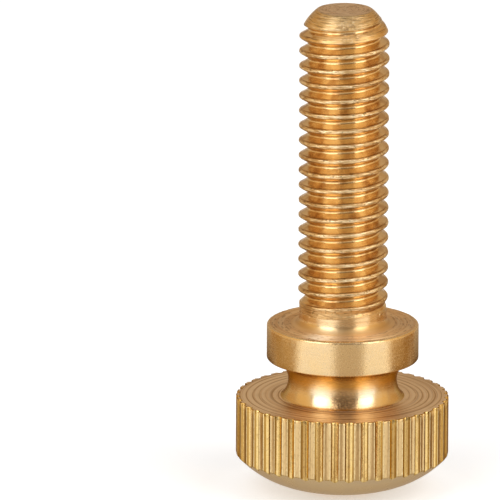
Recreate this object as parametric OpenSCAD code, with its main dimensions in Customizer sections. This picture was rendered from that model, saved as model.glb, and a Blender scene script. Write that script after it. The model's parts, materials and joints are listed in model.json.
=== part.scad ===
// Brass thumb screw, turned in one piece: an M6 thread with a rounded end, a plain collar that
// seats on the work, a waisted neck, and a straight-knurled head with a domed face.
// The screw is built upright with the collar's seat at height 0 and its end at the top, and
// is then raised to stand on the middle of its dome. It stands by itself, because its centre
// of mass is lower than the centre of the dome's crown.

/* [Thread] */
// Advance of the right-hand thread per turn
thread_pitch = 1; // [0.7:0.05:1.25]
// Diameter over the thread's crests
thread_d = 5.9; // [5.2:0.02:6.4]
// Radial depth from crest to root
thread_depth = 0.57; // [0.3:0.01:0.6]
// Width of the flat on top of each crest
crest_w = 0.12; // [0.08:0.01:0.2]
// Width of the rounding on each side of the crest's flat
crest_round_w = 0.06; // [0.03:0.01:0.1]
// Drop of the crest's rounding
crest_round_drop = 0.05; // [0.02:0.01:0.1]
// Width of the flat at the bottom of the groove
root_w = 0.12; // [0.06:0.01:0.2]
// Axial length over which the thread runs out into the plain land
runout_len = 1; // [0.5:0.1:2]

/* [Shank] */
// Length from the collar's seat to the flat end
shank_len = 21; // [12:0.5:40]
// Diameter of the plain land between collar and thread
land_d = 5.7; // [5:0.02:5.8]
// Length of the plain land
land_len = 1.1; // [0.8:0.1:3]
// Radius of the fillet between the land and the collar's seat
land_fillet_r = 0.55; // [0.2:0.05:0.7]
// Diameter of the flat at the end
tip_flat_d = 3.54; // [2.4:0.02:4.4]
// Axial length of the rounded end
tip_round_len = 1.42; // [1:0.02:2]
// Radius of the rounded end's profile
tip_round_r = 2.7; // [2:0.1:6]

/* [Collar] */
// Diameter of the collar
collar_d = 9.95; // [8.6:0.05:13]
// Thickness of the collar
collar_h = 2.35; // [1:0.05:5]
// Width of the broken edges of the collar
collar_edge = 0.12; // [0.05:0.01:0.4]

/* [Neck] */
// Diameter of the neck at its waist
neck_d = 7.15; // [5:0.05:7.6]
// Length of the neck between collar and head
neck_len = 2.55; // [2.1:0.05:4.5]
// Radius of the neck's hollow under the collar, limited by the collar's edge
neck_hollow_r = 0.9; // [0.4:0.05:0.95]
// Radius of the flare that widens the neck from its waist towards the head
neck_flare_r = 2.7; // [2.6:0.1:5]
// Width that the flare has added to the neck, on each side, where it meets the head
neck_flare_w = 0.68; // [0.4:0.02:0.9]

/* [Head] */
// Diameter over the knurl
head_d = 13.95; // [12:0.05:18]
// Height of the knurled band at the crests of its teeth
band_h = 3.85; // [2:0.05:7]
// Number of teeth of the straight knurl
knurl_teeth = 44; // [32:1:60]
// Radial depth of the knurl
knurl_depth = 0.22; // [0.08:0.01:0.3]
// Radius of the dome's crown
crown_r = 13.5; // [12:0.1:18]
// Diameter at which the crown blends into the dome's shoulder
crown_d = 8.6; // [6:0.1:9]
// Radius of the dome's shoulder, in section
shoulder_r = 6.3; // [5.5:0.1:8]

/* [Hidden] */
BRASS = [0.80, 0.58, 0.27];

thread_r = thread_d / 2;
root_r = thread_r - thread_depth;
land_r = land_d / 2;
tip_flat_r = tip_flat_d / 2;
collar_r = collar_d / 2;
neck_r = neck_d / 2;
neck_foot_r = neck_r + neck_flare_w;
head_r = head_d / 2;
crown_blend_r = crown_d / 2;

// Heights along the screw, from the collar's seat at 0
collar_z = -collar_h;
head_z = collar_z - neck_len;
band_z = head_z - band_h;

// How far solids reach into each other where they are joined
overlap = 0.3;
// How far a cutting shape stands off what it leaves alone
clear = 1;

// ---- Thread ----

// Facets per turn
turn_steps = 36;
// Inside the land the thread's core runs this far below the land's surface
land_inset = 0.02;
// The topmost full crest crosses the X axis this many pitches below the end
last_crest = 1.17;

// One pitch of the profile as [height from the crest's middle, radius], from root to root
thread_profile = [
    [(root_w - thread_pitch) / 2, root_r],
    [-crest_w / 2 - crest_round_w, thread_r - crest_round_drop],
    [-crest_w / 2, thread_r],
    [crest_w / 2, thread_r],
    [crest_w / 2 + crest_round_w, thread_r - crest_round_drop],
    [(thread_pitch - root_w) / 2, root_r],
];
profile_n = len(thread_profile);

// The turns begin wholly inside the land and go on until they are wholly past the end
last_crest_z = shank_len - last_crest * thread_pitch;
turns_below = ceil((last_crest_z - land_len) / thread_pitch + 0.5);
turns_above = ceil(last_crest + 0.5);
turns = turns_below + turns_above;
steps = turns * turn_steps;
first_crest_z = last_crest_z - turns_below * thread_pitch;

// 0 on the land and 1 on the full thread, eased at both ends
function runout(z) =
    let (t = min(1, max(0, (z - land_len) / runout_len)))
    t * t * (3 - 2 * t);

function thread_point(step, p) =
    let (
        z = first_crest_z + step * thread_pitch / turn_steps + p[0],
        core_r = land_r - land_inset,
        r = core_r + (p[1] - core_r) * runout(z),
        angle = step * 360 / turn_steps
    )
    [r * cos(angle), r * sin(angle), z];

// Index of a point of the thread; the point after a profile's last is the next turn's root
function at(step, p) =
    p == profile_n ? at(step + turn_steps, 0)
    : step <= steps ? step * profile_n + p
    : (steps + 1) * profile_n + step - steps - 1;

// The helical ridge as one closed body: its strips, and a fan and a step at either end
module thread_core() {
    first_root = thread_point(0, thread_profile[0]);
    last_root = thread_point(steps + turn_steps, thread_profile[0]);
    low_hub = (steps + 1) * profile_n + turn_steps;
    high_hub = low_hub + 1;
    polyhedron(
        points = [
            for (step = [0:steps], p = thread_profile) thread_point(step, p),
            for (step = [steps + 1:steps + turn_steps]) thread_point(step, thread_profile[0]),
            [0, 0, first_root.z],
            [0, 0, last_root.z],
        ],
        faces = [
            for (step = [0:steps - 1], p = [0:profile_n - 1])
                each [
                    [at(step, p), at(step, p + 1), at(step + 1, p + 1)],
                    [at(step, p), at(step + 1, p + 1), at(step + 1, p)],
                ],
            for (step = [0:turn_steps - 1])
                [low_hub, at(step, 0), at(step + 1, 0)],
            for (step = [steps:steps + turn_steps - 1])
                [high_hub, at(step + 1, 0), at(step, 0)],
            [low_hub, for (p = [profile_n:-1:0]) at(0, p)],
            [high_hub, for (p = [0:profile_n]) at(steps, p)],
        ]
    );
}

// The rounded end is an arc from the rim of the flat to the full diameter of the thread
tip_chord = [thread_r - tip_flat_r, -tip_round_len];
tip_mid = [tip_flat_r, shank_len] + tip_chord / 2;
tip_rise = sqrt(tip_round_r ^ 2 - (tip_chord * tip_chord) / 4);
tip_centre = tip_mid + [tip_chord[1], -tip_chord[0]] / norm(tip_chord) * tip_rise;

// What is left of the thread's core once its end is turned round and faced flat
module end_envelope() {
    outer_r = thread_r + clear;
    rotate_extrude($fn = 96)
        intersection() {
            translate([0, -overlap])
                square([outer_r, shank_len + overlap]);
            union() {
                translate(tip_centre)
                    circle(tip_round_r, $fn = 128);
                translate([0, -overlap])
                    square([outer_r, tip_centre[1] + overlap]);
            }
        }
}

module thread() {
    intersection() {
        thread_core();
        end_envelope();
    }
}

// ---- Land, collar and neck ----

// The corner of a fillet of radius r that rises from [0, 0] along both axes
module fillet(r) {
    difference() {
        translate([-overlap, -overlap])
            square(r + overlap);
        translate([r, r])
            circle(r, $fn = 64);
    }
}

module land_section() {
    translate([0, -overlap])
        square([land_r, land_len + overlap]);
    translate([land_r, 0])
        fillet(land_fillet_r);
}

module collar_section() {
    polygon([
        [0, 0],
        [collar_r - collar_edge, 0],
        [collar_r, -collar_edge],
        [collar_r, collar_z + collar_edge],
        [collar_r - collar_edge, collar_z],
        [0, collar_z],
    ]);
}

// The neck's hollow rises from the waist to the collar's underside. The flare is a larger arc
// that carries the hollow on smoothly and ends at the neck's foot, on the head.
hollow_r = min(neck_hollow_r, collar_r - collar_edge - neck_r);
hollow_centre = [neck_r + hollow_r, collar_z - hollow_r];
neck_foot = [neck_foot_r, head_z];
foot_to_hollow = hollow_centre - neck_foot;
foot_gap = norm(foot_to_hollow);
flare_swing = acos((neck_flare_r ^ 2 + foot_gap ^ 2 - (neck_flare_r - hollow_r) ^ 2)
    / (2 * neck_flare_r * foot_gap));
flare_end = atan2(foot_to_hollow[1], foot_to_hollow[0]) - flare_swing + 180;
flare_centre = neck_foot - neck_flare_r * [cos(flare_end), sin(flare_end)];
flare_to_hollow = hollow_centre - flare_centre;
flare_start = (atan2(flare_to_hollow[1], flare_to_hollow[0]) + 360) % 360;

function arc(centre, r, start, end, steps) =
    [for (i = [0:steps]) let (a = start + (end - start) * i / steps) centre + r * [cos(a), sin(a)]];

module neck_section() {
    polygon([
        [0, collar_z + overlap],
        [hollow_centre[0], collar_z + overlap],
        each arc(hollow_centre, hollow_r, 90, flare_start, 24),
        each arc(flare_centre, neck_flare_r, flare_start, flare_end, 10),
        [neck_foot_r, head_z - overlap],
        [0, head_z - overlap],
    ]);
}

module turned_body() {
    rotate_extrude($fn = 128) {
        land_section();
        collar_section();
        neck_section();
    }
}

// ---- Head ----

// The dome's crown is an arc about the axis, and its shoulder an arc tangent to the crown.
// A head that is wider than its dome keeps a flat ledge around the dome.
crown_angle = asin(crown_blend_r / crown_r);
shoulder_x = (crown_r - shoulder_r) * sin(crown_angle);
dome_foot_r = min(head_r, shoulder_x + shoulder_r);
rim_angle = asin((dome_foot_r - shoulder_x) / shoulder_r);
shoulder_z = band_z + shoulder_r * cos(rim_angle);
crown_z = shoulder_z + (crown_r - shoulder_r) * cos(crown_angle);
dome_z = crown_z - crown_r;

// One tooth as [share of the pitch, share of the depth], from the valley over the crest
knurl_tooth = [[-0.05, 0], [0.05, 0], [0.19, 0.7], [0.32, 1], [0.68, 1], [0.81, 0.7]];

// Section through the knurl, with the middle of a tooth at the front, on the -Y side
module knurl_section() {
    pitch_angle = 360 / knurl_teeth;
    polygon([
        for (tooth = [0:knurl_teeth - 1], p = knurl_tooth)
            let (
                angle = (tooth + p[0] - 0.5) * pitch_angle - 90,
                r = head_r - knurl_depth * (1 - p[1])
            )
            [r * cos(angle), r * sin(angle)]
    ]);
}

module dome_envelope() {
    outer_r = max(head_r, shoulder_x + shoulder_r) + clear;
    top_z = head_z + clear;
    rotate_extrude($fn = 128) {
        intersection() {
            translate([0, crown_z])
                circle(crown_r, $fn = 360);
            translate([0, dome_z - clear])
                square([crown_blend_r, top_z - dome_z + clear]);
        }
        intersection() {
            translate([shoulder_x, shoulder_z])
                circle(shoulder_r, $fn = 180);
            translate([crown_blend_r, dome_z])
                square([outer_r, shoulder_z - dome_z]);
        }
        translate([0, shoulder_z])
            square([outer_r, top_z - shoulder_z]);
    }
}

module head() {
    intersection() {
        translate([0, 0, dome_z - clear])
            linear_extrude(head_z - dome_z + clear)
                knurl_section();
        dome_envelope();
    }
}

module thumb_screw() {
    color(BRASS)
        translate([0, 0, -dome_z]) {
            thread();
            turned_body();
            head();
        }
}

thumb_screw();
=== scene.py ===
"""The looks of a brass thumb screw that was turned from one bar and stands on its domed head.

The screw is one closed mesh. It is built in millimetres, from the middle of its threaded end
down to the middle of its dome, with heights measured from the collar's seat as in the part's
source. The mesh's angles run counter-clockwise from the X axis, seen from above. Marks, lights
and cards have an azimuth instead, which is 0 towards the camera and grows to its right.
"""

import json
import math
import random

import bpy
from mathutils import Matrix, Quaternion, Vector, noise


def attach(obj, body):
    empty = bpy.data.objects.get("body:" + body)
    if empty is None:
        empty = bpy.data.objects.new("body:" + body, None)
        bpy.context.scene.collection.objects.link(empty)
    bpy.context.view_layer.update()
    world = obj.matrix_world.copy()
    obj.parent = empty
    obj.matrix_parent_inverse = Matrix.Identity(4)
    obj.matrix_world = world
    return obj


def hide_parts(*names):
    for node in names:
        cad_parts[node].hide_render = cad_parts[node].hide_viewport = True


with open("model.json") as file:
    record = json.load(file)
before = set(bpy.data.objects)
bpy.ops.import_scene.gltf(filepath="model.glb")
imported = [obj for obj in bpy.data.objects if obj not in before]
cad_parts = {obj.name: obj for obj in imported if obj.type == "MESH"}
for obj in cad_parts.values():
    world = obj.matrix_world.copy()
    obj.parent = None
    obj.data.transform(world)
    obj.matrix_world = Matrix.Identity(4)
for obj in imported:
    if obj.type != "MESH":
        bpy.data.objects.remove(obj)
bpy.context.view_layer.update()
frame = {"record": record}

MM = 0.001
TURN = 2 * math.pi
BODY = "root"
CAD_NODE = "thumb_screw"

# ---- Sizes, in millimetres ----

# Thread
THREAD_PITCH = 1.0
THREAD_R = 2.95
CREST_HALF = 0.035
FLANK_Z = 0.11
FLANK_R = 2.9
ROOT_SHARP_R = 2.242
ROOT_ROUND_R = 0.138
LAST_CREST_Z = 19.83
RUNOUT_START = 1.05
RUNOUT_END = 2.1
HELIX_LOW_Z = 0.86
HELIX_HIGH_Z = 20.72

# Rounded end, whose arc runs from the edge of its flat to the crests of the thread
END_Z = 21.1
END_FLAT_R = 1.8
END_ARC_R = 3.5
END_ARC_LOW_Z = 19.4
# Lowest ring above the helix
END_RING_Z = 20.76
# Broken edge of the flat, as steps out from its radius and down from its height
END_EDGE = ((-0.15, 0), (-0.05, 0), (-0.015, 0.004), (0.006, 0.012))
# How far round the arc the broken edge reaches
END_EDGE_DEG = 0.6
# Faces no further than this inside the rounded end's surface have its finish
END_SKIN = 0.03
# Rings of the flat: how many corners they have, and their radii
FLAT_RINGS = ((64, (0.45, 0.75)), (128, (1.1, 1.4)))
FLAT_MIDDLE_R = 0.2

# Land and collar
LAND_R = 2.85
LAND_RINGS_Z = (0.8, 0.68, 0.57)
LAND_FILLET_R = 0.55
COLLAR_R = 4.975
COLLAR_Z = -2.35
# Broken edges of the collar, as steps in from its side and heights
COLLAR_RIM = ((0.14, -0.002), (0.09, -0.02), (0.03, -0.07), (0.004, -0.12), (0, -0.17))
COLLAR_FOOT = ((0, COLLAR_Z + 0.13), (0.01, COLLAR_Z + 0.07), (0.05, COLLAR_Z + 0.02))
# How many rings of the rim have a burr
BURR_RINGS = 3
# Where the flat seat ends, and where the collar's underside meets the hollow of the neck
SEAT_R = 4.765
COLLAR_UNDER_R = 4.855

# Neck
NECK_R = 3.56
HOLLOW_R = 1.42
HOLLOW_Z = -3.77
HOLLOW_START_DEG = 98
BEND_R = 1.65
FLARE_DEG = 39

# Head
HEAD_Z = -4.9
HEAD_R = 6.975
# Where the neck ends, and where the face of the head begins
FOOT_R = 4.06
FACE_R = 4.072
GROOVE_PITCH = 0.42
# Half the groove's width, as a share of its pitch, its mean depth, and how far that drifts
GROOVE_HALF = 0.3
GROOVE_DEPTH = 0.014
GROOVE_DRIFT = 0.008
# Where the face and the dome end, inside the knurl's valleys
RIM_R = 6.62
KNURL_TEETH = 44
KNURL_DEPTH = 0.22
# Unevenness of the knurl's upper edge and of its teeth, and the grain of both
KNURL_RAGGED = 0.02
KNURL_UNEVEN = 0.004
KNURL_GRAIN = 0.12
# Zone, step in and step down of each ring of the knurl's upper edge
KNURL_RIM = (("face", 0.06, 0.002), ("knurl", 0.02, 0.012), ("knurl", 0, 0.045))
KNURL_ROWS = 10
# The teeth end this far above the dome, and their lower edge is this far in and under it
KNURL_FOOT = 0.05
KNURL_FOOT_EDGE = (0.012, 0.004)
# The dome's edge lies this far inside the teeth
DOME_INSET = 0.05
SHOULDER_R = 6.3
CROWN_R = 13.5
CROWN_BLEND_R = 4.3
# Rings of the dome: how many corners they have, and their radii
DOME_RINGS = (
    (512, (RIM_R, 6.5)),
    (256, (6.3, 6.05, 5.75, 5.4, 5.0, 4.6, 4.2, 3.8, 3.4)),
    (128, (3.0, 2.6, 2.2, 1.8)),
    (64, (1.4, 1.0, 0.7)),
    (32, (0.4, 0.2)),
)

# Where the collar's seat lies above the floor
SEAT_Z = next(m["pos_m"][2] for m in frame["record"]["mounts"] if m["name"] == "collar_seat") / MM

# The dome's crown stands on the floor, and its shoulder meets the crown without a corner
CROWN_Z = CROWN_R - SEAT_Z
SHOULDER_SHARE = 1 - SHOULDER_R / CROWN_R
SHOULDER_X = CROWN_BLEND_R * SHOULDER_SHARE
SHOULDER_Z = CROWN_Z - math.sqrt(CROWN_R**2 - CROWN_BLEND_R**2) * SHOULDER_SHARE

# ---- Surface ----

# Parts of the surface with a finish of their own, in the order of the material slots
ZONES = ("end", "thread", "land", "seat", "collar", "neck", "face", "knurl", "dome")


def even_angles(count):
    """This many angles, evenly round the screw."""
    return [TURN * step / count for step in range(count)]


# Angles no further apart than this count as one
SAME_ANGLE = 1e-9


class Surface:
    """A closed surface that grows loop by loop, each loop a list of (vertex, angle)."""

    def __init__(self):
        self.points = []
        self.faces = []
        self.zones = []
        self.loop = None

    def add(self, angle, radius, height):
        """Adds a vertex and returns its number."""
        self.points.append((radius * math.cos(angle), radius * math.sin(angle), height))
        return len(self.points) - 1

    def face(self, zone, corners):
        """Adds a face whose corners run counter-clockwise, seen from outside."""
        self.faces.append(corners)
        self.zones.append(ZONES.index(zone))

    def band(self, zone, upper, lower):
        """Fills between two loops, and steps on along the one whose next vertex is nearer."""

        def angle_of(loop, index):
            return loop[index][1] if index < len(loop) else loop[0][1] + TURN

        def vertex_of(loop, index):
            return loop[index % len(loop)][0]

        above = below = 0
        while above < len(upper) or below < len(lower):
            lead = angle_of(upper, above + 1) - angle_of(lower, below + 1)
            step_above = above < len(upper) and (lead < SAME_ANGLE or below == len(lower))
            step_below = below < len(lower) and (lead > -SAME_ANGLE or above == len(upper))
            corners = [vertex_of(lower, below)]
            if step_below:
                corners.append(vertex_of(lower, below + 1))
            if step_above:
                corners.append(vertex_of(upper, above + 1))
            corners.append(vertex_of(upper, above))
            self.face(zone, corners)
            above += step_above
            below += step_below

    def carry_on(self, zone, loop):
        """Joins the next loop down to the last one."""
        self.band(zone, self.loop, loop)
        self.loop = loop

    def ring(self, angles, place):
        """A loop at these angles, where place(angle) gives the radius and height."""
        return [(self.add(angle, *place(angle)), angle) for angle in angles]

    def start_cap(self, zone, radius, height, angles):
        """Starts the surface with a disc that faces up."""
        middle = self.add(0, 0, height)
        self.loop = self.ring(angles, lambda angle: (radius, height))
        for (here, _), (there, _) in zip(self.loop, self.loop[1:] + self.loop[:1]):
            self.face(zone, [middle, here, there])

    def end_cap(self, zone, height):
        """Closes the surface with one point under its last loop."""
        middle = self.add(0, 0, height)
        for (here, _), (there, _) in zip(self.loop, self.loop[1:] + self.loop[:1]):
            self.face(zone, [middle, there, here])

    def turned(self, zone, section, angles, relief=None):
        """Carries on over a turned section, with relief(angle, radius, height) along its normal."""
        for index, (radius, height) in enumerate(section):
            before = section[max(index - 1, 0)]
            after = section[min(index + 1, len(section) - 1)]
            across, down = after[0] - before[0], after[1] - before[1]
            length = math.hypot(across, down)

            def place(angle):
                rise = relief(angle, radius, height) if relief else 0
                return radius - rise * down / length, height + rise * across / length

            self.carry_on(zone, self.ring(angles, place))


def arc(x, z, radius, start_deg, end_deg, steps):
    """Points along an arc, which leave out its start."""
    points = []
    for step in range(1, steps + 1):
        angle = math.radians(start_deg + (end_deg - start_deg) * step / steps)
        points.append((x + radius * math.cos(angle), z + radius * math.sin(angle)))
    return points


def line(start, end, steps):
    """Points along a straight line, which leave out its start."""
    return [
        tuple(a + (b - a) * step / steps for a, b in zip(start, end))
        for step in range(1, steps + 1)
    ]


def arc_centre(start, end, radius):
    """Centre of the arc that bulges outward from one point down to another."""
    across, down = end[0] - start[0], end[1] - start[1]
    chord = math.hypot(across, down)
    share = math.sqrt(radius**2 - chord**2 / 4) / chord
    return (start[0] + end[0]) / 2 + down * share, (start[1] + end[1]) / 2 - across * share


def unevenness(angle, radius, height, grain):
    """Smooth noise from -1 to 1 whose bumps are about as large as grain."""
    place = Vector((radius * math.cos(angle), radius * math.sin(angle), height))
    return noise.noise(place / grain)


# ---- Thread ----

# Columns of the helix in one turn
COLUMNS = 128
END_ARC_X, END_ARC_Z = arc_centre((END_FLAT_R, END_Z), (THREAD_R, END_ARC_LOW_Z), END_ARC_R)
FLANK_SLOPE = (FLANK_R - ROOT_SHARP_R) / (THREAD_PITCH / 2 - FLANK_Z)
FLANK_ANGLE = math.atan(1 / FLANK_SLOPE)
# Height of the crest's rounding, which meets the flank without a corner
CREST_BLEND = 2 * (FLANK_Z - CREST_HALF - (THREAD_R - FLANK_R) / FLANK_SLOPE)
CREST_END = CREST_HALF + CREST_BLEND
ROOT_HALF = ROOT_ROUND_R * math.cos(FLANK_ANGLE)
ROOT_CENTRE_R = ROOT_SHARP_R + ROOT_ROUND_R / math.sin(FLANK_ANGLE)


def profile_radius(offset):
    """Radius of the thread at this distance along the axis from a crest's middle."""
    offset = abs(offset)
    from_root = THREAD_PITCH / 2 - offset
    if offset <= CREST_HALF:
        return THREAD_R
    if offset < CREST_END:
        return THREAD_R - FLANK_SLOPE / (2 * CREST_BLEND) * (offset - CREST_HALF) ** 2
    if from_root > ROOT_HALF:
        return FLANK_R - FLANK_SLOPE * (offset - FLANK_Z)
    return ROOT_CENTRE_R - math.sqrt(ROOT_ROUND_R**2 - from_root**2)


def profile_offsets():
    """Offsets of one pitch's rows, close together where the profile is round."""
    half = [CREST_HALF / 2]
    half += [CREST_HALF + CREST_BLEND * step / 4 for step in range(5)]
    half += [THREAD_PITCH / 2 - ROOT_HALF * step / 3 for step in (3, 2, 1)]
    return [-THREAD_PITCH / 2] + [-offset for offset in reversed(half)] + [0] + half


OFFSETS = profile_offsets()


def end_radius(height):
    """Radius of the rounded end, which clears the thread below the middle of its arc."""
    if height <= END_ARC_Z:
        return END_ARC_X + END_ARC_R
    return END_ARC_X + math.sqrt(max(END_ARC_R**2 - (height - END_ARC_Z) ** 2, 0))


def runout(height):
    """How much of its full depth the thread has at this height, from 0 to 1."""
    share = min(1, max(0, (height - RUNOUT_START) / (RUNOUT_END - RUNOUT_START)))
    return share * share * (3 - 2 * share)


def thread_radius(offset, height):
    """Radius of the thread where it isn't cut by the rounded end."""
    return LAND_R + (profile_radius(offset) - LAND_R) * runout(height)


# Depths of wear and chips on the crests, and how far both reach, as a share of the crest's half
WEAR_DEPTH = 0.008
CHIP_DEPTH = 0.075
WEAR_REACH = 1.4
# How rare the chips are, and how far up they take their noise, so as not to follow the wear
CHIP_RARITY = 0.12
CHIP_SHIFT = 30


def crest_wear(angle, offset, radius, height):
    """How far the crest is worn and chipped here."""
    reach = abs(offset) / CREST_END
    if reach > WEAR_REACH:
        return 0
    uneven = unevenness(angle, radius, height, 0.5)
    chips = unevenness(angle, radius, height + CHIP_SHIFT, 0.16)
    bite = max(0, chips - CHIP_RARITY * (1 - uneven))
    return (WEAR_DEPTH * (1 + uneven) + CHIP_DEPTH * bite) * (1 - (reach / WEAR_REACH) ** 2)


def end_relief(angle, radius, height):
    """Relief of the rounded end, which is slightly uneven."""
    return 0.006 * unevenness(angle, radius, height, 0.25)


class Helix:
    """The threaded length, as columns of vertices whose rows climb with the thread."""

    def __init__(self, surface, low, high):
        self.surface = surface
        self.columns = []
        for column in range(COLUMNS):
            self.columns.append(self.make_column(column, low, high))
        # The column after the last is the first one again, a pitch of rows further up
        first = self.columns[0]
        self.columns.append({row - len(OFFSETS): vertex for row, vertex in first.items()})

    def make_column(self, column, low, high):
        """Vertices by row. A row keeps its place in the profile as it climbs with the helix."""
        angle = TURN * column / COLUMNS
        start = LAST_CREST_Z + THREAD_PITCH * column / COLUMNS
        row = math.floor((low - start) / THREAD_PITCH) * len(OFFSETS)
        rows = []
        while True:
            pitches, index = divmod(row, len(OFFSETS))
            height = start + pitches * THREAD_PITCH + OFFSETS[index]
            if height > high:
                break
            if height >= low:
                rows.append([row, OFFSETS[index], height])
            row += 1
        self.meet_end(rows)
        vertices = {}
        for row, offset, height in rows:
            thread = thread_radius(offset, height)
            radius = min(thread, end_radius(height))
            if thread <= radius:
                radius -= crest_wear(angle, offset, radius, height) * runout(height)
            else:
                radius += end_relief(angle, radius, height)
            vertices[row] = self.surface.add(angle, radius, height)
        return vertices

    def meet_end(self, rows):
        """Moves the row nearest to each edge between thread and rounded end onto that edge."""

        def spare(offset, height):
            return thread_radius(offset, height) - end_radius(height)

        moves = []
        for below, above in zip(rows, rows[1:]):
            low, high = spare(*below[1:]), spare(*above[1:])
            if (low > 0) == (high > 0) or below[2] < END_ARC_Z:
                continue
            share = low / (low - high)
            rise = (above[2] - below[2]) * share
            moves.append((below if share < 0.5 else above, below[1] + rise, below[2] + rise))
        for row, offset, height in moves:
            row[1:] = offset, height

    def fill(self, zone_of):
        """Fills between the columns, with zone_of(corners) for each face."""
        for left, right in zip(self.columns, self.columns[1:]):
            for row in left:
                corners = (left.get(row), right.get(row), right.get(row + 1), left.get(row + 1))
                if None not in corners:
                    self.surface.face(zone_of(corners), corners)

    def rim(self, top):
        """The loop along the top or the bottom, which steps down where the rows end."""
        loop = []
        for column, (left, right) in enumerate(zip(self.columns, self.columns[1:])):
            angle = TURN * column / COLUMNS
            if top:
                rows = range(max(left), min(max(left), max(right)) - 1, -1)
            else:
                before = self.columns[column - 1] if column else self.columns[-2]
                shift = 0 if column else len(OFFSETS)
                rows = range(max(min(before) + shift, min(left)), min(left) - 1, -1)
            loop += [(left[row], angle) for row in rows]
        return loop


# ---- Building the screw ----

# Corners of most turned rings, and of the collar's rim
CORNERS = 256
FINE_CORNERS = 512


def build_thread(surface):
    """The flat, the rounded end and the helix, down to the land."""
    angles = even_angles(CORNERS)
    surface.start_cap("end", FLAT_MIDDLE_R, END_Z, even_angles(FLAT_RINGS[0][0]))
    for count, radii in FLAT_RINGS:
        surface.turned("end", [(radius, END_Z) for radius in radii], even_angles(count))
    edge = [(END_FLAT_R + out, END_Z - drop) for out, drop in END_EDGE]
    surface.turned("end", edge[:-1], angles)
    arc_start = math.degrees(math.acos((END_FLAT_R - END_ARC_X) / END_ARC_R)) - END_EDGE_DEG
    arc_end = math.degrees(math.asin((END_RING_Z - END_ARC_Z) / END_ARC_R))
    rounded = edge[-1:] + arc(END_ARC_X, END_ARC_Z, END_ARC_R, arc_start, arc_end, steps=6)
    surface.turned("end", rounded, angles, end_relief)
    helix = Helix(surface, HELIX_LOW_Z, HELIX_HIGH_Z)
    surface.carry_on("end", helix.rim(top=True))

    def zone_of(corners):
        x, y, z = surface.points[corners[0]]
        return "end" if math.hypot(x, y) > end_radius(z) - END_SKIN else "thread"

    helix.fill(zone_of)
    surface.loop = helix.rim(top=False)


def burr(angle, radius, height):
    """Relief of the collar's worn rim."""
    coarse = unevenness(angle, radius, height, 0.3)
    return 0.012 * coarse + 0.01 * unevenness(angle, radius, height, 0.1)


def build_collar(surface):
    """The land with its fillet, and the collar with its worn rim."""
    angles = even_angles(CORNERS)
    fine = even_angles(FINE_CORNERS)
    fillet_x = LAND_R + LAND_FILLET_R
    surface.turned("land", [(LAND_R, height) for height in LAND_RINGS_Z], angles)
    surface.turned("land", arc(fillet_x, LAND_FILLET_R, LAND_FILLET_R, 180, 270, steps=9), angles)
    surface.turned("seat", line((fillet_x, 0), (SEAT_R, 0), steps=7), angles)
    rim = [(COLLAR_R - inset, height) for inset, height in COLLAR_RIM]
    foot = [(COLLAR_R - inset, height) for inset, height in COLLAR_FOOT]
    surface.turned("collar", rim[:BURR_RINGS], fine, burr)
    surface.turned("collar", rim[BURR_RINGS:], fine)
    surface.turned("collar", line(rim[-1], foot[0], steps=6), angles)
    surface.turned("collar", foot[1:], angles)


def build_neck(surface):
    """The hollow under the collar, the waist and the flare that widens it to the head."""
    angles = even_angles(CORNERS)
    start = [(COLLAR_UNDER_R, COLLAR_Z)]
    hollow = arc(NECK_R + HOLLOW_R, HOLLOW_Z, HOLLOW_R, HOLLOW_START_DEG, 180, steps=20)
    surface.turned("neck", start + hollow, angles)
    bend = arc(NECK_R + BEND_R, HOLLOW_Z, BEND_R, 180, 180 + FLARE_DEG, steps=14)
    surface.turned("neck", bend, angles)
    surface.turned("neck", line(bend[-1], (FOOT_R, HEAD_Z), steps=2), angles)


def dome_height(radius):
    """Height of the dome's surface at this radius."""
    if radius > CROWN_BLEND_R:
        return SHOULDER_Z - math.sqrt(SHOULDER_R**2 - (radius - SHOULDER_X) ** 2)
    return CROWN_Z - math.sqrt(CROWN_R**2 - radius**2)


def groove(angle, radius, height):
    """Relief of the spiral that facing the head has left, whose depth comes and goes."""
    phase = (radius / GROOVE_PITCH - angle / TURN) % 1
    cut = max(0, 1 - abs(phase - 0.5) / GROOVE_HALF)
    return -cut * (GROOVE_DEPTH + GROOVE_DRIFT * unevenness(angle, radius, height, 1.5))


# The teeth differ a little from each other, in the same way in each run
chance = random.Random(7)


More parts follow.
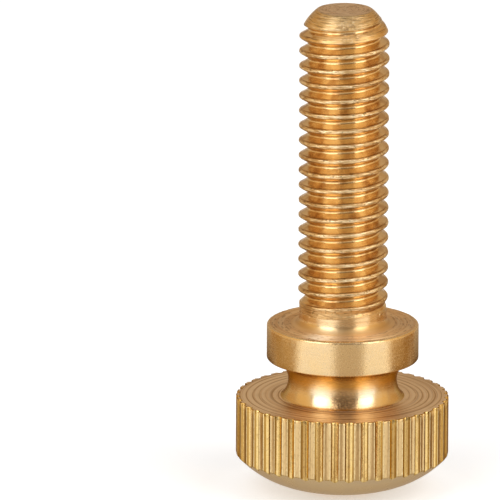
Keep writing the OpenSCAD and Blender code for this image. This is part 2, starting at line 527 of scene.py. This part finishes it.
class Knurl:
    """The outline of the knurled head, and the places of its rings."""

    # From the middle of a valley to the middle of a tooth, as shares of the pitch and the depth
    HALF = ((0, 0), (0.03, 0.01), (0.055, 0.07), (0.16, 0.33), (0.19, 0.43), (0.268, 0.87))
    HALF += ((0.292, 0.97), (0.314, 1), (0.336, 0.97), (0.37, 0.87), (0.5, 0.89))
    SHARES = [share for share, _ in HALF]
    SHARES += [1 - share for share in SHARES[-2:0:-1]]
    HEIGHTS = [height for _, height in HALF]
    HEIGHTS += HEIGHTS[-2:0:-1]
    # How far the teeth lean, how wide and deep they are, and how far their crests are worn
    LEAN = 0.04
    WIDTHS = (0.85, 1.12)
    DEPTHS = (0.9, 1.0)
    WEAR = 0.005

    def __init__(self):
        pitch = TURN / KNURL_TEETH
        columns = []
        for tooth in range(KNURL_TEETH):
            lean = chance.uniform(-self.LEAN, self.LEAN)
            width = chance.uniform(*self.WIDTHS)
            depth = chance.uniform(*self.DEPTHS)
            crest = HEAD_R - chance.uniform(0, self.WEAR)
            for share, height in zip(self.SHARES, self.HEIGHTS):
                if share:
                    share = 0.5 + (share - 0.5) * width + lean * height
                angle = (tooth + share - 0.5) * pitch - TURN / 4
                radius = crest - KNURL_DEPTH * depth * (1 - height)
                columns.append((angle % TURN, radius))
        columns.sort()
        self.angles = [angle for angle, _ in columns]
        self.radius = dict(columns)

    def rim(self, inset, drop):
        """A ring of the ragged upper edge."""

        def place(angle):
            ragged = KNURL_RAGGED * unevenness(angle, HEAD_R, drop, KNURL_GRAIN)
            return self.radius[angle] - inset, HEAD_Z - drop + min(0, ragged)

        return place

    def row(self, step):
        """A row of the teeth, which reach down to the dome."""
        top = HEAD_Z - KNURL_RIM[-1][-1]

        def place(angle):
            radius = self.radius[angle]
            height = top + (dome_height(radius) + KNURL_FOOT - top) * step / KNURL_ROWS
            # The noise is drawn out down the teeth
            uneven = unevenness(angle, radius, height / 3, KNURL_GRAIN)
            return radius + KNURL_UNEVEN * uneven, height

        return place

    def foot(self, inset, drop=0):
        """A ring on the dome, or slightly under it, just inside the teeth."""

        def place(angle):
            radius = self.radius[angle] - inset
            return radius, dome_height(radius) - drop

        return place


def build_head(surface):
    """The faced side with its turned groove, the knurl and the dome."""
    start = (FACE_R, HEAD_Z)
    faced = [start] + line(start, (RIM_R, HEAD_Z), steps=28)
    surface.turned("face", faced, even_angles(CORNERS), groove)

    knurl = Knurl()
    rings = [(zone, knurl.rim(inset, drop)) for zone, inset, drop in KNURL_RIM]
    rings += [("knurl", knurl.row(step)) for step in range(1, KNURL_ROWS + 1)]
    rings += [("knurl", knurl.foot(*KNURL_FOOT_EDGE)), ("dome", knurl.foot(DOME_INSET))]
    for zone, place in rings:
        surface.carry_on(zone, surface.ring(knurl.angles, place))

    for count, radii in DOME_RINGS:
        section = [(radius, dome_height(radius)) for radius in radii]
        surface.turned("dome", section, even_angles(count))
    surface.end_cap("dome", dome_height(0))


def make_screw():
    """The whole screw as one piece, with a material slot for each zone."""
    surface = Surface()
    build_thread(surface)
    build_collar(surface)
    build_neck(surface)
    build_head(surface)
    mesh = bpy.data.meshes.new("turned_screw")
    points = [(x * MM, y * MM, (z + SEAT_Z) * MM) for x, y, z in surface.points]
    mesh.from_pydata(points, [], surface.faces)
    mesh.polygons.foreach_set("material_index", surface.zones)
    mesh.polygons.foreach_set("use_smooth", [True] * len(surface.faces))
    mesh.update()
    screw = bpy.data.objects.new("turned_screw", mesh)
    bpy.context.scene.collection.objects.link(screw)
    return screw


# ---- Materials ----

GOLD = (0.80, 0.56, 0.28)
PALE = (0.88, 0.68, 0.42)
BROWN = (0.68, 0.43, 0.22)
KHAKI = (0.76, 0.56, 0.32)
DARK = (0.28, 0.17, 0.08)
# Tint of what is mirrored at a glancing angle
GLANCING = (0.72, 0.62, 0.52)
DULL_GLANCING = (0.42, 0.30, 0.20)
KNURL_GLANCING = (0.26, 0.17, 0.09)

# Marks at one place on the screw, as azimuth, radius, height and reach
END_KNOCK = (7, 2.45, 20.3, 1.3)
# A darker patch at the front of the land
LAND_FRONT_DARKENING = (4, LAND_R, 0.9, 1.3)
# Painted highlight on the land's fillet, to the left of the front
LAND_PAINTED_HIGHLIGHT = (-19, 3.1, 0.3, 1.6)
# Painted highlight on the seat, to the left of the front
SEAT_PAINTED_HIGHLIGHT = (-20, 4.0, 0, 1.7)
NECK_STAIN = (1, 3.85, -4.5, 1.5)
# Painted highlights on the neck, to each side of the front
NECK_PAINTED_HIGHLIGHTS = ((-24, 3.6, -4.0, 1.35), (30, 3.6, -4.0, 1.35))


class Finish:
    """The node material of one zone, in the screw's own millimetres."""

    def __init__(self, zone, colour, anisotropy=0.0, glancing=GLANCING):
        self.colour = (*colour, 1)
        self.material = bpy.data.materials.new("brass_" + zone)
        self.material.use_nodes = True
        self.tree = self.material.node_tree
        self.shader = self.tree.nodes["Principled BSDF"]
        self.shader.inputs["Metallic"].default_value = 1
        self.shader.inputs["Specular Tint"].default_value = (*glancing, 1)
        coordinates = self.node("ShaderNodeTexCoord").outputs["Object"]
        scaled = self.node("ShaderNodeVectorMath", operation="SCALE")
        self.link(scaled.inputs[0], coordinates)
        scaled.inputs["Scale"].default_value = 1 / MM
        self.place = scaled.outputs[0]
        split = self.node("ShaderNodeSeparateXYZ")
        self.link(split.inputs[0], self.place)
        self.x, self.y, self.height = split.outputs
        square = self.math("ADD", self.math("POWER", self.x, 2), self.math("POWER", self.y, 2))
        self.radius = self.math("SQRT", square)
        if anisotropy:
            # Turning leaves fine rings, which blur a reflection across them and not along them
            self.shader.inputs["Anisotropic"].default_value = anisotropy
            self.shader.inputs["Anisotropic Rotation"].default_value = 0.25
            tangent = self.node("ShaderNodeTangent", direction_type="RADIAL", axis="Z")
            self.link(self.shader.inputs["Tangent"], tangent.outputs[0])

    def node(self, kind, **settings):
        """A new node with these settings."""
        node = self.tree.nodes.new(kind)
        for name, value in settings.items():
            setattr(node, name, value)
        return node

    def link(self, socket, value):
        """Feeds a socket from another socket, or sets it to a plain value."""
        if isinstance(value, bpy.types.NodeSocket):
            self.tree.links.new(value, socket)
        else:
            socket.default_value = value

    def math(self, operation, *values):
        """The result of an operation on sockets or plain values."""
        node = self.node("ShaderNodeMath", operation=operation)
        for socket, value in zip(node.inputs, values):
            self.link(socket, value)
        return node.outputs[0]

    def times(self, first, second):
        return self.math("MULTIPLY", first, second)

    def plus(self, first, second):
        return self.math("ADD", first, second)

    def ramp(self, value, low, high, out_low=0.0, out_high=1.0):
        """A smooth step from one output to another as the value goes from low to high."""
        node = self.node("ShaderNodeMapRange", interpolation_type="SMOOTHSTEP")
        names = ("Value", "From Min", "From Max", "To Min", "To Max")
        for name, number in zip(names, (value, low, high, out_low, out_high)):
            self.link(node.inputs[name], number)
        return node.outputs[0]

    def level(self, low, high):
        """A smooth step from 0 to 1 between two heights over the collar's seat."""
        return self.ramp(self.height, SEAT_Z + low, SEAT_Z + high)

    def depth(self, crest, low, high):
        """A smooth step from 0 to 1 between two depths under a crest's radius."""
        return self.ramp(self.radius, crest - low, crest - high)

    def noise(self, vector, scale, detail=2.0, roughness=0.5):
        """Noise from 0 to 1, mostly near a half, with this many bumps to the vector's unit."""
        node = self.node("ShaderNodeTexNoise")
        self.link(node.inputs["Vector"], vector)
        node.inputs["Scale"].default_value = scale
        node.inputs["Detail"].default_value = detail
        node.inputs["Roughness"].default_value = roughness
        return node.outputs["Fac"]

    def grain(self, scale, detail=2.0, roughness=0.5):
        """Even noise with about this many bumps to the millimetre."""
        return self.noise(self.place, scale, detail, roughness)

    def marks(self, around, along, axis, detail=2.0):
        """Noise with so many marks to the radian round the axis and to the millimetre along it."""
        joined = self.node("ShaderNodeCombineXYZ")
        for socket, part in zip(joined.inputs[:2], (self.x, self.y)):
            self.link(socket, self.times(self.math("DIVIDE", part, self.radius), around))
        self.link(joined.inputs[2], self.times(axis, along))
        return self.noise(joined.outputs[0], 1.0, detail)

    def spots(self, scale, size):
        """Small round spots, 1 in the middle, on about every cell of this many to the millimetre."""
        node = self.node("ShaderNodeTexVoronoi")
        self.link(node.inputs["Vector"], self.place)
        node.inputs["Scale"].default_value = scale
        return self.ramp(node.outputs["Distance"], 0, size, 1, 0)

    def near(self, azimuth, radius, height, reach):
        """1 at a place on the screw, which fades out at this reach from it."""
        gap = self.node("ShaderNodeVectorMath", operation="DISTANCE")
        self.link(gap.inputs[0], self.place)
        spot = direction(azimuth, 0) * radius
        gap.inputs[1].default_value = (spot.x, spot.y, height + SEAT_Z)
        return self.ramp(gap.outputs["Value"], 0, reach, 1, 0)

    def paint(self, colour, share, *masks):
        """Lays this share of a colour over those before, where all the masks are 1."""
        node = self.node("ShaderNodeMix", data_type="RGBA")
        for mask in masks:
            share = self.times(share, mask)
        # A mix node has sockets for numbers and vectors too, before those for colours
        self.link(node.inputs[0], share)
        self.link(node.inputs[6], self.colour)
        self.link(node.inputs[7], (*colour, 1))
        self.colour = node.outputs[2]

    def bump(self, height, depth):
        """Adds relief whose full height is depth, in millimetres."""
        node = self.node("ShaderNodeBump")
        node.inputs["Distance"].default_value = depth * MM
        self.link(node.inputs["Height"], height)
        normal = self.shader.inputs["Normal"]
        if normal.is_linked:
            self.link(node.inputs["Normal"], normal.links[0].from_socket)
        self.link(normal, node.outputs[0])

    def done(self, roughness):
        """The finished material, with its colours as painted so far."""
        self.link(self.shader.inputs["Base Color"], self.colour)
        self.link(self.shader.inputs["Roughness"], roughness)
        return self.material


def end_finish():
    """The flat and the rounded end: satin and scratched, knocked at the front near the thread."""
    finish = Finish("end", (0.74, 0.52, 0.32), 0.4)
    outward = finish.math("SUBTRACT", finish.radius, finish.height)
    rings = finish.marks(1.2, 7, outward, 3)
    scratches = finish.marks(2.5, 9, outward, 4)
    wear = finish.grain(1.6, 3)
    chips = finish.grain(5, 4, 0.7)
    knock = finish.near(*END_KNOCK)
    rounded = finish.level(END_Z - 0.002, END_Z - 0.03)
    threaded = finish.level(20.35, 20.0)
    finish.paint((0.83, 0.63, 0.41), 1, finish.ramp(rings, 0.35, 0.65))
    finish.paint((0.68, 0.45, 0.19), 0.85, rounded)
    finish.paint((0.62, 0.43, 0.22), 0.5, finish.ramp(wear, 0.45, 0.7))
    finish.paint((0.70, 0.43, 0.17), 0.7, threaded)
    finish.paint(DARK, 0.6, finish.ramp(scratches, 0.44, 0.36))
    finish.paint(PALE, 0.6, finish.ramp(scratches, 0.56, 0.66))
    finish.paint(DARK, 0.8, knock, finish.ramp(chips, 0.5, 0.4))
    finish.paint((0.97, 0.86, 0.62), 1, knock, finish.ramp(chips, 0.56, 0.64))
    finish.bump(rings, 0.008)
    finish.bump(finish.times(scratches, finish.ramp(rounded, 0, 1, 0.4, 1)), 0.05)
    finish.bump(finish.times(chips, knock), 0.16)
    finish.bump(finish.grain(7, 3), 0.008)
    return finish.done(finish.ramp(scratches, 0.35, 0.65, 0.26, 0.36))


def thread_finish():
    """The thread: smooth flanks and roots, and crests that are torn and rough, and pale from wear
    and a painted highlight.
    """
    finish = Finish("thread", (0.83, 0.59, 0.30))
    edge = finish.depth(THREAD_R, 0.19, 0.09)
    crest = finish.depth(THREAD_R, 0.09, 0.04)
    torn = finish.marks(4, 12, finish.height, 5)
    chipped = finish.marks(14, 9, finish.height, 4)
    blotch = finish.marks(2.2, 1.3, finish.height, 3)
    stain = finish.grain(0.9, 3)
    finish.paint((0.77, 0.50, 0.22), 1, finish.ramp(stain, 0.4, 0.7))
    finish.paint((0.48, 0.26, 0.10), 0.7, finish.ramp(blotch, 0.5, 0.68))
    finish.paint((0.46, 0.28, 0.12), 0.6, edge, finish.ramp(torn, 0.52, 0.42))
    # Partly wear, partly painted highlight: the crests are paler, broken up by the torn marks
    finish.paint((0.94, 0.78, 0.50), 0.9, crest, finish.ramp(torn, 0.46, 0.6))
    finish.paint(DARK, 0.8, edge, finish.ramp(chipped, 0.42, 0.34))
    finish.bump(finish.times(torn, edge), 0.05)
    finish.bump(finish.times(chipped, edge), 0.04)
    finish.bump(finish.marks(9, 16, finish.height, 2), 0.004)
    smooth = finish.ramp(stain, 0.3, 0.7, 0.17, 0.25)
    return finish.done(finish.plus(smooth, finish.times(edge, 0.12)))


def land_finish():
    """The land and its fillet: fine rings, a darker patch at the front, painted shade low on the
    fillet and a painted highlight to its left.
    """
    finish = Finish("land", (0.87, 0.62, 0.33), 0.75)
    rings = finish.marks(1.0, 9, finish.height, 2)
    finish.paint((0.81, 0.54, 0.26), 1, finish.ramp(rings, 0.35, 0.7))
    # A darker patch at the front of the land
    finish.paint((0.50, 0.31, 0.14), 0.5, finish.near(*LAND_FRONT_DARKENING))
    # Painted shade: darker and more orange on the fillet, in the corner where the land meets the
    # seat
    finish.paint((0.68, 0.44, 0.19), 0.7, finish.level(0.6, 0.3), finish.level(0, 0.15))
    # Painted highlight: a pale patch to the left of the front
    finish.paint((0.97, 0.83, 0.58), 0.4, finish.near(*LAND_PAINTED_HIGHLIGHT))
    finish.bump(rings, 0.004)
    finish.bump(finish.grain(8, 3), 0.004)
    fillet = finish.times(finish.level(0.45, 0.1), 0.25)
    return finish.done(finish.plus(finish.ramp(rings, 0.3, 0.7, 0.24, 0.3), fillet))


def seat_finish():
    """The collar's faced seat: dull, with rings, scars and pits, and a painted highlight at the
    front.
    """
    finish = Finish("seat", (0.77, 0.50, 0.25), 0.85)
    rings = finish.marks(0.7, 5.5, finish.radius, 3)
    torn = finish.marks(5, 7, finish.radius, 5)
    finish.paint((0.92, 0.69, 0.42), 1, finish.ramp(rings, 0.38, 0.62))
    # Painted highlight: a pale patch to the left of the front
    finish.paint((1.0, 0.90, 0.72), 0.8, finish.near(*SEAT_PAINTED_HIGHLIGHT))
    finish.paint((0.38, 0.21, 0.09), 0.55, finish.ramp(torn, 0.45, 0.38))
    finish.paint(DARK, 0.7, finish.spots(2.6, 0.24))
    finish.bump(rings, 0.035)
    finish.bump(torn, 0.045)
    return finish.done(finish.ramp(rings, 0.3, 0.7, 0.48, 0.58))


def collar_finish():
    """The collar's side: satin with a fine speckle."""
    finish = Finish("collar", GOLD, 0.3)
    speckle = finish.marks(34, 6, finish.height, 3)
    wear = finish.grain(1.1, 3)
    finish.paint(KHAKI, 0.6, finish.ramp(wear, 0.4, 0.7))
    finish.paint(BROWN, 0.3, finish.ramp(speckle, 0.42, 0.3))
    finish.bump(speckle, 0.005)
    finish.bump(finish.marks(1.0, 8, finish.height, 2), 0.003)
    return finish.done(finish.ramp(speckle, 0.3, 0.7, 0.2, 0.3))


def neck_finish():
    """The neck: the brightest turning, with a painted highlight to each side of a stain at the
    front, and painted shade up under the collar.
    """
    finish = Finish("neck", GOLD, 0.9, DULL_GLANCING)
    rings = finish.marks(0.8, 10, finish.height, 2)
    stain = finish.near(*NECK_STAIN)
    spots = finish.grain(8, 3, 0.6)
    # Painted shade: more orange and darker up in the hollow under the collar
    finish.paint((0.80, 0.50, 0.16), 1, finish.level(-3.8, -3.3))
    # Painted highlights to each side of the front
    for place in NECK_PAINTED_HIGHLIGHTS:
        finish.paint((0.94, 0.86, 0.68), 0.75, finish.near(*place))
    finish.paint(BROWN, 0.5, finish.ramp(stain, 0.1, 0.6))
    finish.paint(DARK, 0.8, stain, finish.ramp(spots, 0.38, 0.54))
    finish.bump(rings, 0.002)
    finish.bump(finish.times(spots, stain), 0.012)
    return finish.done(finish.ramp(rings, 0.3, 0.7, 0.22, 0.28))


def face_finish():
    """The faced side of the head: pale and satin, with dark lines, its spiral groove, painted shade
    along the groove and a painted highlight between its turns.
    """
    finish = Finish("face", (0.82, 0.58, 0.33), 0.5)
    rings = finish.marks(0.6, 7, finish.radius, 3)
    turn = finish.math("DIVIDE", finish.math("ARCTAN2", finish.y, finish.x), TURN)
    pitches = finish.math("DIVIDE", finish.radius, GROOVE_PITCH)
    phase = finish.math("FRACT", finish.math("SUBTRACT", pitches, turn))
    # How far from the middle of the groove, as a share of its pitch
    away = finish.math("ABSOLUTE", finish.math("SUBTRACT", phase, 0.5))
    cut = finish.ramp(finish.marks(1.5, 1, finish.radius, 2), 0.35, 0.6, 0.2, 0.8)
    finish.paint((0.93, 0.73, 0.47), 1, finish.ramp(rings, 0.38, 0.62))
    finish.paint(KHAKI, 0.5, finish.ramp(finish.grain(1.2, 3), 0.5, 0.75))
    finish.paint(DARK, 0.4, finish.ramp(rings, 0.44, 0.36))
    # Painted shade along the middle of the groove, stronger in some places than others
    finish.paint((0.46, 0.26, 0.10), 1, cut, finish.ramp(away, 0.15, 0.06))
    # Painted highlight on the ridge between the turns of the groove
    finish.paint((0.92, 0.74, 0.52), 0.5, finish.ramp(away, 0.34, 0.42))
    finish.bump(rings, 0.03)
    finish.bump(finish.grain(8, 3), 0.01)
    return finish.done(finish.ramp(rings, 0.3, 0.7, 0.34, 0.44))


def knurl_finish():
    """The knurl: a painted highlight on what the wheel raised, dull on the flats it left, and
    painted shade between.
    """
    finish = Finish("knurl", (0.90, 0.64, 0.26), glancing=KNURL_GLANCING)
    raised = finish.depth(HEAD_R, 0.017, 0.007)
    flat = finish.depth(HEAD_R, 0.040, 0.030)
    wall = finish.depth(HEAD_R, 0.133, 0.119)
    floor = finish.depth(HEAD_R, 0.199, 0.211)
    strokes = finish.marks(45, 1.5, finish.height, 2)
    scuffs = finish.marks(60, 4, finish.height, 3)
    wear = finish.grain(1.0, 3)
    finish.paint((0.84, 0.57, 0.21), 1, finish.ramp(wear, 0.4, 0.7))
    # Painted shade: darker in the valleys between the teeth
    finish.paint((0.56, 0.35, 0.10), 0.8, floor)
    # Painted shade: dark down the walls of the teeth
    finish.paint((0.46, 0.25, 0.05), 1, wall)
    finish.paint((0.70, 0.49, 0.23), 1, flat)
    # Painted highlight: pale on the raised lips of the teeth
    finish.paint((0.97, 0.79, 0.44), 1, raised)
    finish.paint((0.48, 0.30, 0.12), 0.4, finish.ramp(scuffs, 0.46, 0.36))
    finish.paint(DARK, 0.7, finish.spots(1.1, 0.06))
    finish.bump(strokes, 0.006)
    finish.bump(finish.grain(8, 3), 0.008)
    dull = finish.times(finish.math("SUBTRACT", flat, raised), 0.1)
    return finish.done(finish.plus(finish.ramp(strokes, 0.3, 0.7, 0.18, 0.26), dull))


def dome_finish():
    """The dome: khaki and smooth, with faint wide rings."""
    finish = Finish("dome", KHAKI, 0.3)
    wear = finish.grain(0.8, 3)
    finish.paint((0.72, 0.54, 0.33), 1, finish.ramp(wear, 0.4, 0.7))
    finish.bump(finish.marks(0.8, 4, finish.radius, 2), 0.006)
    finish.bump(finish.grain(6, 3), 0.006)
    return finish.done(finish.ramp(wear, 0.3, 0.7, 0.26, 0.34))


FINISHES = {
    "end": end_finish,
    "thread": thread_finish,
    "land": land_finish,
    "seat": seat_finish,
    "collar": collar_finish,
    "neck": neck_finish,
    "face": face_finish,
    "knurl": knurl_finish,
    "dome": dome_finish,
}

# ---- Studio ----

# Camera, fitted to the photo, with its distance and its lens in millimetres
CAMERA_TILT = math.radians(15.216)
CAMERA_ROLL = math.radians(0.223)
CAMERA_DISTANCE = 729.56
CAMERA_LENS = 802.4
# Middle of the picture, to the right of the collar's seat and above it
AIM_RIGHT = -6.103
AIM_UP = 4.716


def direction(azimuth_deg, elevation_deg):
    """The way to an azimuth, 0 towards the camera and more to its right, and an elevation."""
    azimuth, elevation = math.radians(azimuth_deg), math.radians(elevation_deg)
    flat = math.cos(elevation)
    return Vector((flat * math.sin(azimuth), -flat * math.cos(azimuth), math.sin(elevation)))


def make_camera():
    """A long lens that looks down a little at the screw."""
    seat = Vector((0, 0, SEAT_Z))
    towards = direction(0, math.degrees(CAMERA_TILT))
    up = Vector((0, math.sin(CAMERA_TILT), math.cos(CAMERA_TILT)))
    location = seat + CAMERA_DISTANCE * towards
    target = seat + Vector((AIM_RIGHT, 0, 0)) + AIM_UP * up
    data = bpy.data.cameras.new("camera")
    data.lens = CAMERA_LENS
    data.clip_start = 0.01
    data.clip_end = 20
    camera = bpy.data.objects.new("camera", data)
    camera.location = location * MM
    camera.rotation_mode = "QUATERNION"
    level = (target - location).to_track_quat("-Z", "Y")
    camera.rotation_quaternion = level @ Quaternion((0, 0, 1), CAMERA_ROLL)
    bpy.context.scene.collection.objects.link(camera)
    bpy.context.scene.camera = camera


def seen_or_mirrored(tree):
    """1 for what is seen straight, mirrored or through something clear, else 0."""
    path = tree.nodes.new("ShaderNodeLightPath")
    most = path.outputs["Is Camera Ray"]
    for name in ("Is Glossy Ray", "Is Transmission Ray"):
        node = tree.nodes.new("ShaderNodeMath")
        node.operation = "MAXIMUM"
        tree.links.new(most, node.inputs[0])
        tree.links.new(path.outputs[name], node.inputs[1])
        most = node.outputs[0]
    return most


# Columns of every card, and rows of those that stand
CARD_COLUMNS = 24
WALL_ROWS = 12


def make_card(name, places, rows, cover, colour, strength):
    """A glowing card that only mirror images show, as a grid of places with soft edges."""
    faces = []
    for column in range(CARD_COLUMNS):
        for row in range(rows):
            corner = column * (rows + 1) + row
            faces.append((corner, corner + 1, corner + rows + 2, corner + rows + 1))
    mesh = bpy.data.meshes.new(name)
    mesh.from_pydata([point * MM for point in places], [], faces)
    attribute = mesh.attributes.new("cover", "FLOAT", "POINT")
    attribute.data.foreach_set("value", cover)
    material = bpy.data.materials.new(name)
    material.use_nodes = True
    tree = material.node_tree
    tree.nodes.clear()
    out = tree.nodes.new("ShaderNodeOutputMaterial")
    light = tree.nodes.new("ShaderNodeEmission")
    light.inputs["Color"].default_value = (*colour, 1)
    light.inputs["Strength"].default_value = strength
    clear = tree.nodes.new("ShaderNodeBsdfTransparent")
    mix = tree.nodes.new("ShaderNodeMixShader")
    read = tree.nodes.new("ShaderNodeAttribute")
    read.attribute_name = "cover"
    tree.links.new(read.outputs["Fac"], mix.inputs[0])
    tree.links.new(clear.outputs[0], mix.inputs[1])
    tree.links.new(light.outputs[0], mix.inputs[2])
    tree.links.new(mix.outputs[0], out.inputs[0])
    mesh.materials.append(material)
    card = bpy.data.objects.new(name, mesh)
    bpy.context.scene.collection.objects.link(card)
    card.visible_camera = False
    card.visible_diffuse = False
    card.visible_transmission = False
    card.visible_volume_scatter = False
    card.visible_shadow = False


def soft(value, low, high, feather):
    """1 inside a range, and down to 0 within a feather of its ends."""
    return max(0, min(1, min(value - low, high - value) / feather))


def card_columns(start, end, feather):
    """The azimuth of each column of a card, and how far it has faded there."""
    for column in range(CARD_COLUMNS + 1):
        azimuth = start + (end - start) * column / CARD_COLUMNS
        yield azimuth, 1 if end - start >= 360 else soft(azimuth, start, end, feather)


def floor_card(name, start, end, inner, outer, colour, strength=1.0, feather=8, lift=0.15):
    """A sector of card on the floor round the screw, which fades out past both radii."""
    rows = ((inner * 0.85, 0), (inner, 1), (outer, 1), (outer * 1.2, 0))
    places, cover = [], []
    for azimuth, sides in card_columns(start, end, feather):
        for reach, share in rows:
            places.append(direction(azimuth, 0) * reach + Vector((0, 0, lift)))
            # A card that starts under the screw has no inner edge to fade
            cover.append(sides * share if reach else 1)
    make_card(name, places, len(rows) - 1, cover, colour, strength)


def wall_card(name, start, end, low, high, distance, colour, strength=1.0, feather=4):
    """A card that stands round the screw, between two azimuths and two elevations."""
    places, cover = [], []
    for azimuth, sides in card_columns(start, end, feather):
        for row in range(WALL_ROWS + 1):
            elevation = low + (high - low) * row / WALL_ROWS
            places.append(direction(azimuth, elevation) * distance + Vector((0, 0, SEAT_Z)))
            cover.append(sides * (1 if high >= 90 else soft(elevation, low, high, feather)))
    make_card(name, places, WALL_ROWS, cover, colour, strength)


WHITE = (1, 1, 1)
AMBER = (0.90, 0.66, 0.34)
OCHRE = (0.68, 0.46, 0.22)
TAN = (0.62, 0.52, 0.42)
# Inner and outer radius of the floor's cards near the screw and far from it
NEAR = (9, 42)
FAR = (42, 160)


def make_cards():
    """What the brass mirrors: warm walls beside it, dark flags and a bright floor before it."""
    wall_card("room", 0, 360, 2, 90, 640, (0.54, 0.51, 0.48))
    wall_card("back", 118, 242, -2, 55, 420, TAN, feather=15)
    wall_card("left_wall", -112, -64, -6, 62, 400, AMBER, feather=8)
    wall_card("left_wall_end", -146, -104, -6, 50, 400, OCHRE, feather=10)
    wall_card("right_wall", 64, 112, -6, 62, 400, AMBER, feather=8)
    wall_card("right_wall_end", 104, 146, -6, 50, 400, OCHRE, feather=10)
    wall_card("front_flag", -16, 36, -8, 62, 300, (0.31, 0.26, 0.22), feather=1.5)
    wall_card("edge_flag", -23, -19, -8, 62, 300, (0.20, 0.15, 0.10), feather=0.8)
    # Painted shade: a grey card under the screw stands in for the shaded floor that the dome mirrors
    floor_card("under", 0, 360, 0, 9, (0.66, 0.63, 0.58), lift=0.25)
    floor_card("front_near", -16, 34, *NEAR, TAN)
    floor_card("left_near", -64, -14, *NEAR, WHITE, 1.1)
    floor_card("right_near", 32, 68, *NEAR, WHITE, 1.05)
    floor_card("left_side_near", -124, -64, *NEAR, (0.44, 0.29, 0.12), feather=12)
    floor_card("right_side_near", 66, 124, *NEAR, (0.34, 0.20, 0.07), feather=12)
    floor_card("back_near", 112, 248, 9, 34, (0.18, 0.11, 0.05), feather=12, lift=0.2)
    floor_card("front_far", -16, 36, *FAR, (0.68, 0.62, 0.52), lift=0.1)
    floor_card("left_far", -68, -16, *FAR, WHITE, 1.4, lift=0.1)
    floor_card("right_far", 36, 68, *FAR, WHITE, 1.35, lift=0.1)
    floor_card("left_side_far", -104, -64, *FAR, (0.76, 0.55, 0.32), feather=10, lift=0.1)
    floor_card("right_side_far", 66, 102, *FAR, (0.80, 0.57, 0.31), feather=10, lift=0.1)
    floor_card("left_dark_far", -138, -94, *FAR, (0.52, 0.30, 0.10), lift=0.05)
    floor_card("right_dark_far", 92, 138, *FAR, (0.42, 0.22, 0.06), lift=0.05)
    floor_card("back_far", 130, 230, 36, 160, (0.62, 0.57, 0.50), feather=9, lift=0.03)


def make_lamp(name, azimuth, elevation, distance, width, height, radiance):
    """A soft box that faces the screw, as bright as this whatever its size."""
    data = bpy.data.lights.new(name, "AREA")
    data.shape = "RECTANGLE"
    data.size = width * MM
    data.size_y = height * MM
    data.energy = radiance * math.pi * width * height * MM * MM
    lamp = bpy.data.objects.new(name, data)
    towards = direction(azimuth, elevation)
    lamp.location = (towards * distance + Vector((0, 0, SEAT_Z))) * MM
    lamp.rotation_mode = "QUATERNION"
    lamp.rotation_quaternion = (-towards).to_track_quat("-Z", "Y")
    lamp.visible_camera = False
    bpy.context.scene.collection.objects.link(lamp)


# Half the floor's side, in metres
FLOOR_HALF = 1.5
# How much the floor glows where it is seen or mirrored, so that it comes out white
FLOOR_GLOW = 0.35
# How bright the world is for what is neither seen nor mirrored
AMBIENT = 0.5


def make_floor():
    """A plain white floor, a little brighter to the eye than its own light makes it."""
    low, high = -FLOOR_HALF, FLOOR_HALF
    mesh = bpy.data.meshes.new("floor")
    corners = [(low, low, 0), (high, low, 0), (high, high, 0), (low, high, 0)]
    mesh.from_pydata(corners, [], [(0, 1, 2, 3)])
    material = bpy.data.materials.new("floor")
    material.use_nodes = True
    tree = material.node_tree
    shader = tree.nodes["Principled BSDF"]
    shader.inputs["Base Color"].default_value = (0.9, 0.9, 0.9, 1)
    shader.inputs["Roughness"].default_value = 0.6
    shader.inputs["Emission Color"].default_value = (1, 1, 1, 1)
    glow = tree.nodes.new("ShaderNodeMath")
    glow.operation = "MULTIPLY"
    glow.inputs[1].default_value = FLOOR_GLOW
    tree.links.new(seen_or_mirrored(tree), glow.inputs[0])
    tree.links.new(glow.outputs[0], shader.inputs["Emission Strength"])
    mesh.materials.append(material)
    floor = bpy.data.objects.new("floor", mesh)
    bpy.context.scene.collection.objects.link(floor)


def make_world():
    """White where it is seen or mirrored, and a plain level of light for the rest."""
    world = bpy.data.worlds.new("studio")
    bpy.context.scene.world = world
    world.use_nodes = True
    tree = world.node_tree
    back = tree.nodes["Background"]
    back.inputs["Color"].default_value = (1, 1, 1, 1)
    most = tree.nodes.new("ShaderNodeMath")
    most.operation = "MAXIMUM"
    most.inputs[0].default_value = AMBIENT
    tree.links.new(seen_or_mirrored(tree), most.inputs[1])
    tree.links.new(most.outputs[0], back.inputs["Strength"])


# ---- The scene ----

screw = make_screw()
for zone in ZONES:
    screw.data.materials.append(FINISHES[zone]())
weighted = screw.modifiers.new("weighted_normals", "WEIGHTED_NORMAL")
weighted.mode = "FACE_AREA"
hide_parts(CAD_NODE)
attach(screw, BODY)

make_camera()
make_floor()
make_cards()
make_world()
make_lamp("left_box", -42, 34, distance=450, width=330, height=400, radiance=2.4)
make_lamp("right_box", 56, 34, distance=450, width=360, height=400, radiance=2.4)
bpy.context.scene.view_settings.view_transform = "Standard"
